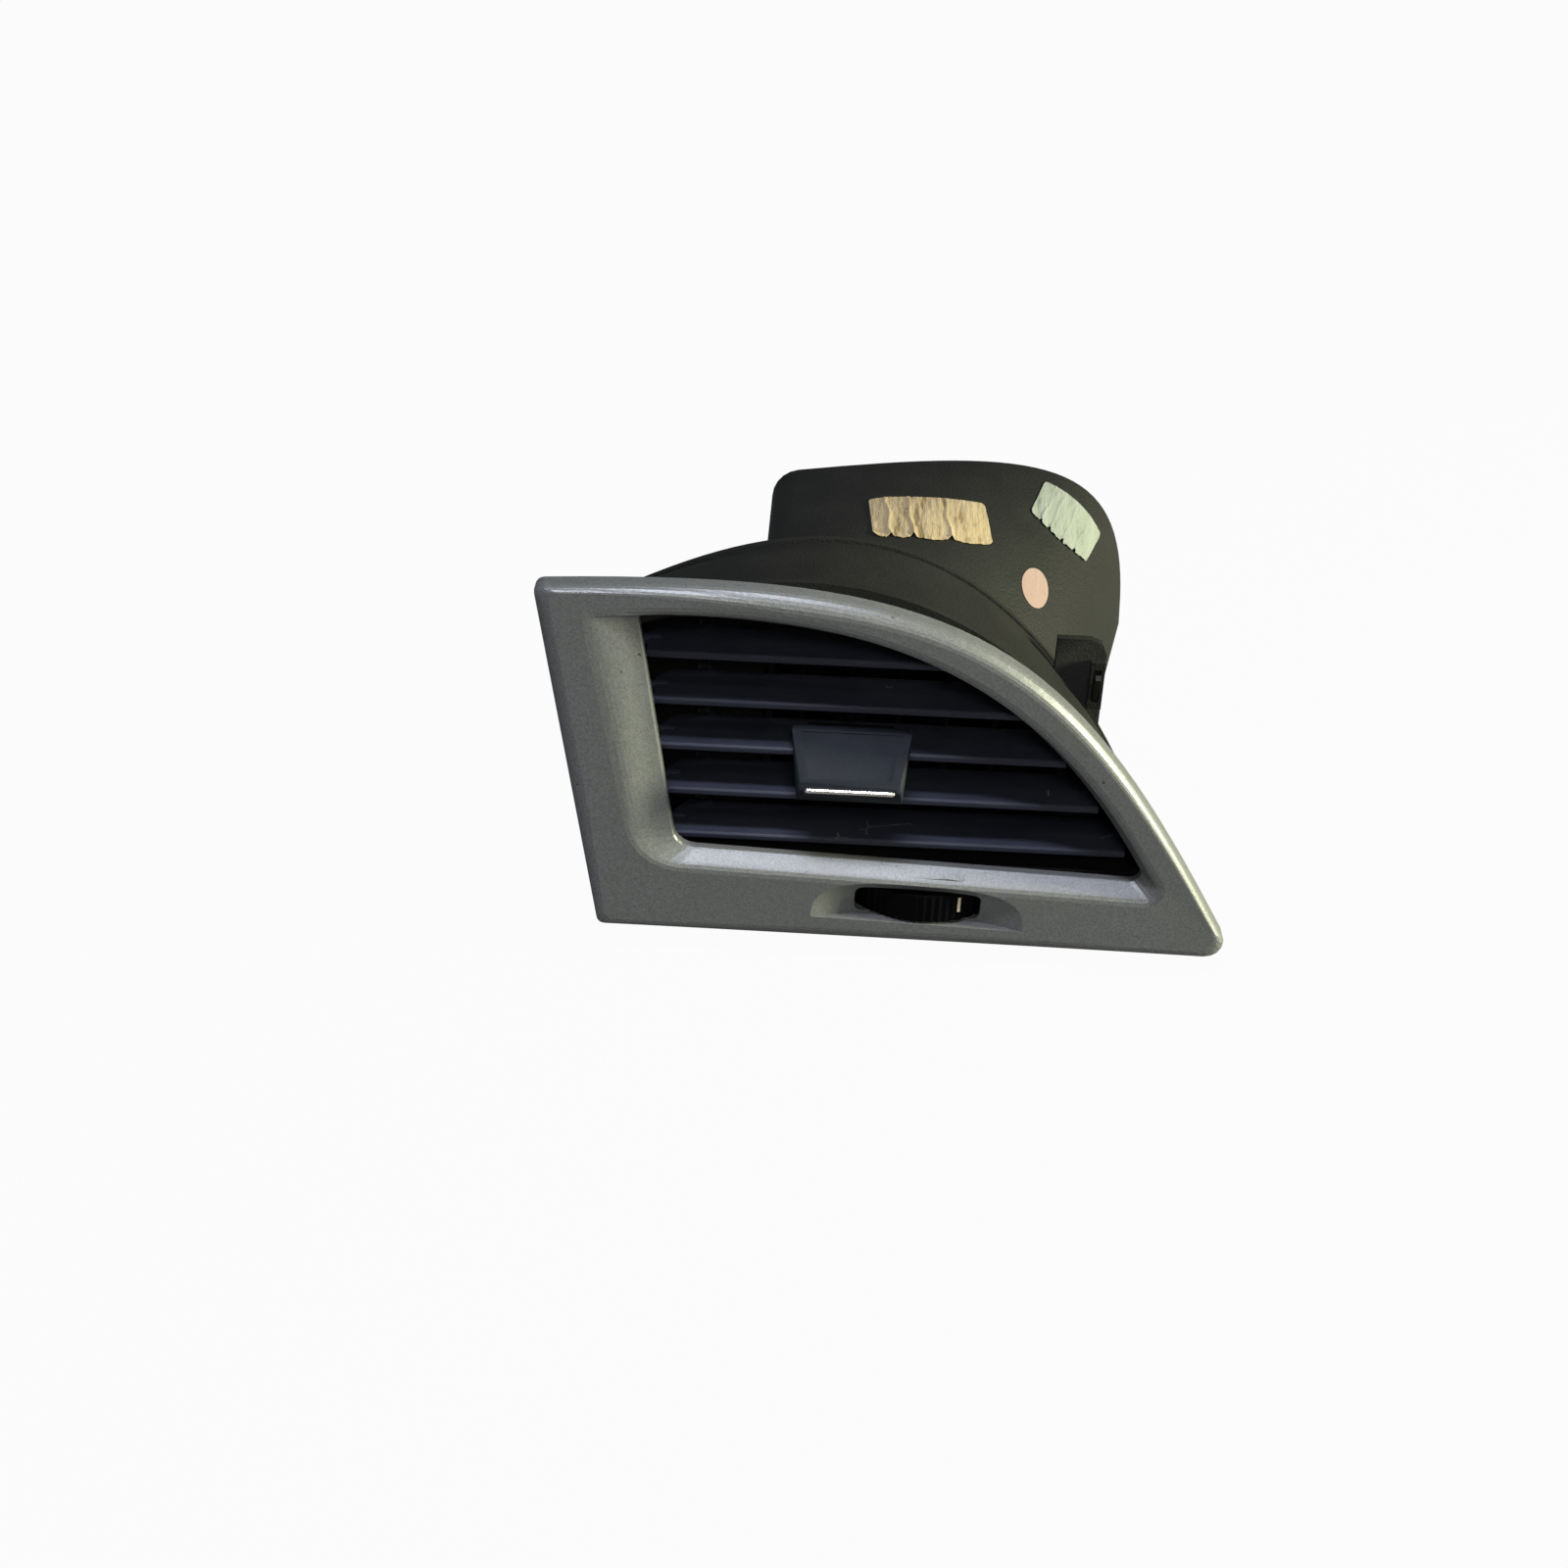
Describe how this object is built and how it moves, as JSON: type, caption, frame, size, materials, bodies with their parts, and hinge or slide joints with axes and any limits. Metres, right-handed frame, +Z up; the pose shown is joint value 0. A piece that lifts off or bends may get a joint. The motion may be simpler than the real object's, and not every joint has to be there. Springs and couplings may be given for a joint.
{
  "type": "dashboard air vent",
  "caption": "Dashboard air outlet with a curved painted face plate, tilting louvres, a sliding knob that steers upright louvres, and a thumbwheel damper on a rear duct.",
  "frame": {"origin": "centre of the air outlet, in the plane of the face plate", "axes": "+X to the right along the louvres, +Y back into the dashboard, +Z up"},
  "size_m": [0.1749, 0.0899, 0.1017],
  "materials": {
    "bezel_paint": "satin grey paint on plastic",
    "housing_black": "textured black plastic",
    "louvre_black": "smooth black plastic",
    "knob_grey": "dark blue-grey soft plastic",
    "trim_metal": "bright strip",
    "mechanism_black": "plain black plastic",
    "screw_steel": "plated steel",
    "tape_beige": "wrinkled adhesive tape",
    "tape_pale": "pale adhesive tape",
    "sticker_peach": "round paper sticker"
  },
  "bodies": {
    "housing": {"bezel": "bezel_paint", "front_housing": "housing_black", "rear_duct": "housing_black", "louvre_frame": "mechanism_black", "upright_frame": "mechanism_black", "damper_frame": "mechanism_black", "wheel_carrier": "housing_black", "right_clip": "housing_black", "left_clip": "housing_black", "carrier_screws": "screw_steel", "beige_tape": "tape_beige", "pale_tape": "tape_pale", "dot_sticker": "sticker_peach"},
    "front_louvre_1_body": {"front_louvre_1": "louvre_black"},
    "front_louvre_2_body": {"front_louvre_2": "louvre_black"},
    "front_louvre_3_body": {"front_louvre_3": "louvre_black"},
    "front_louvre_4_body": {"front_louvre_4": "louvre_black"},
    "front_louvre_5_body": {"front_louvre_5": "louvre_black"},
    "front_tie_bar_body": {"front_tie_bar": "mechanism_black"},
    "knob_body": {"knob": "knob_grey", "knob_trim": "trim_metal", "knob_fork": "mechanism_black"},
    "upright_louvre_1_body": {"upright_louvre_1": "louvre_black"},
    "upright_louvre_2_body": {"upright_louvre_2": "louvre_black"},
    "upright_louvre_3_body": {"upright_louvre_3": "louvre_black"},
    "upright_louvre_4_body": {"upright_louvre_4": "louvre_black"},
    "upright_louvre_5_body": {"upright_louvre_5": "louvre_black"},
    "upright_tie_bar_body": {"upright_tie_bar": "mechanism_black"},
    "thumbwheel_body": {"thumbwheel": "housing_black"},
    "damper_link_body": {"damper_link": "mechanism_black"},
    "damper_blade_1_body": {"damper_blade_1": "mechanism_black"},
    "damper_blade_2_body": {"damper_blade_2": "mechanism_black", "damper_crank": "mechanism_black"},
    "damper_blade_3_body": {"damper_blade_3": "mechanism_black"},
    "damper_tie_bar_body": {"damper_tie_bar": "mechanism_black"}
  },
  "joints": [
    {"name": "front_louvres_tilt", "type": "hinge", "parent": "housing", "child": "front_louvre_3_body", "pos_m": [0, 0.0142, -0.004], "axis": [1, 0, 0], "range_deg": [-25, 25]},
    {"name": "front_louvre_1_tilt", "type": "hinge", "parent": "housing", "child": "front_louvre_1_body", "pos_m": [0, 0.0142, 0.0212], "axis": [1, 0, 0], "range_deg": [-25.5, 25.5]},
    {"name": "front_louvre_2_tilt", "type": "hinge", "parent": "housing", "child": "front_louvre_2_body", "pos_m": [0, 0.0142, 0.0086], "axis": [1, 0, 0], "range_deg": [-25.5, 25.5]},
    {"name": "front_louvre_4_tilt", "type": "hinge", "parent": "housing", "child": "front_louvre_4_body", "pos_m": [0, 0.0142, -0.0166], "axis": [1, 0, 0], "range_deg": [-25.5, 25.5]},
    {"name": "front_louvre_5_tilt", "type": "hinge", "parent": "housing", "child": "front_louvre_5_body", "pos_m": [0, 0.0142, -0.0292], "axis": [1, 0, 0], "range_deg": [-25.5, 25.5]},
    {"name": "front_tie_bar_turn", "type": "hinge", "parent": "front_louvre_3_body", "child": "front_tie_bar_body", "pos_m": [-0.046, 0.026, -0.004], "axis": [1, 0, 0], "range_deg": [-25.5, 25.5]},
    {"name": "knob_slide", "type": "slide", "parent": "front_louvre_3_body", "child": "knob_body", "axis": [1, 0, 0], "range_m": [-0.009, 0.009]},
    {"name": "upright_louvre_1_turn", "type": "hinge", "parent": "housing", "child": "upright_louvre_1_body", "pos_m": [-0.0211, 0.041, 0], "axis": [0, 0, 1], "range_deg": [-33, 33]},
    {"name": "upright_louvre_2_turn", "type": "hinge", "parent": "housing", "child": "upright_louvre_2_body", "pos_m": [-0.0086, 0.041, 0], "axis": [0, 0, 1], "range_deg": [-33, 33]},
    {"name": "upright_louvre_3_turn", "type": "hinge", "parent": "housing", "child": "upright_louvre_3_body", "pos_m": [0.0039, 0.041, 0], "axis": [0, 0, 1], "range_deg": [-33, 33]},
    {"name": "upright_louvre_4_turn", "type": "hinge", "parent": "housing", "child": "upright_louvre_4_body", "pos_m": [0.0164, 0.041, 0], "axis": [0, 0, 1], "range_deg": [-33, 33]},
    {"name": "upright_louvre_5_turn", "type": "hinge", "parent": "housing", "child": "upright_louvre_5_body", "pos_m": [0.0289, 0.041, 0], "axis": [0, 0, 1], "range_deg": [-33, 33]},
    {"name": "upright_tie_bar_turn", "type": "hinge", "parent": "upright_louvre_3_body", "child": "upright_tie_bar_body", "pos_m": [0.0039, 0.047, -0.0252], "axis": [0, 0, 1], "range_deg": [-33, 33]},
    {"name": "thumbwheel_turn", "type": "hinge", "parent": "housing", "child": "thumbwheel_body", "pos_m": [0.012, 0.0195, -0.042], "axis": [0, 0, 1], "range_deg": [-80, 0]},
    {"name": "damper_blade_1_turn", "type": "hinge", "parent": "housing", "child": "damper_blade_1_body", "pos_m": [-0.0144, 0.07, 0], "axis": [0, 0, 1], "range_deg": [-80.5, 0.5]},
    {"name": "damper_blade_2_turn", "type": "hinge", "parent": "housing", "child": "damper_blade_2_body", "pos_m": [0.012, 0.07, 0], "axis": [0, 0, 1], "range_deg": [-80.5, 0.5]},
    {"name": "damper_blade_3_turn", "type": "hinge", "parent": "housing", "child": "damper_blade_3_body", "pos_m": [0.0384, 0.07, 0], "axis": [0, 0, 1], "range_deg": [-80.5, 0.5]},
    {"name": "damper_link_turn", "type": "hinge", "parent": "thumbwheel_body", "child": "damper_link_body", "pos_m": [0.02272, 0.0285, -0.042], "axis": [0, 0, 1], "range_deg": [-0.5, 80.5]},
    {"name": "damper_tie_bar_turn", "type": "hinge", "parent": "damper_blade_2_body", "child": "damper_tie_bar_body", "pos_m": [0.01778, 0.06311, -0.0091], "axis": [0, 0, 1], "range_deg": [-0.5, 80.5]}
  ],
  "couplings": [
    {"joint": "front_louvre_1_tilt", "follows": "front_louvres_tilt", "ratio": 1},
    {"joint": "front_louvre_2_tilt", "follows": "front_louvres_tilt", "ratio": 1},
    {"joint": "front_louvre_4_tilt", "follows": "front_louvres_tilt", "ratio": 1},
    {"joint": "front_louvre_5_tilt", "follows": "front_louvres_tilt", "ratio": 1},
    {"joint": "front_tie_bar_turn", "follows": "front_louvres_tilt", "ratio": -1},
    {"joint": "upright_louvre_1_turn", "follows": "knob_slide", "rad_per_m": 62.5},
    {"joint": "upright_louvre_2_turn", "follows": "knob_slide", "rad_per_m": 62.5},
    {"joint": "upright_louvre_3_turn", "follows": "knob_slide", "rad_per_m": 62.5},
    {"joint": "upright_louvre_4_turn", "follows": "knob_slide", "rad_per_m": 62.5},
    {"joint": "upright_louvre_5_turn", "follows": "knob_slide", "rad_per_m": 62.5},
    {"joint": "upright_tie_bar_turn", "follows": "knob_slide", "rad_per_m": -62.5},
    {"joint": "damper_blade_1_turn", "follows": "thumbwheel_turn", "ratio": 1},
    {"joint": "damper_blade_2_turn", "follows": "thumbwheel_turn", "ratio": 1},
    {"joint": "damper_blade_3_turn", "follows": "thumbwheel_turn", "ratio": 1},
    {"joint": "damper_link_turn", "follows": "thumbwheel_turn", "ratio": -1},
    {"joint": "damper_tie_bar_turn", "follows": "thumbwheel_turn", "ratio": -1}
  ]
}
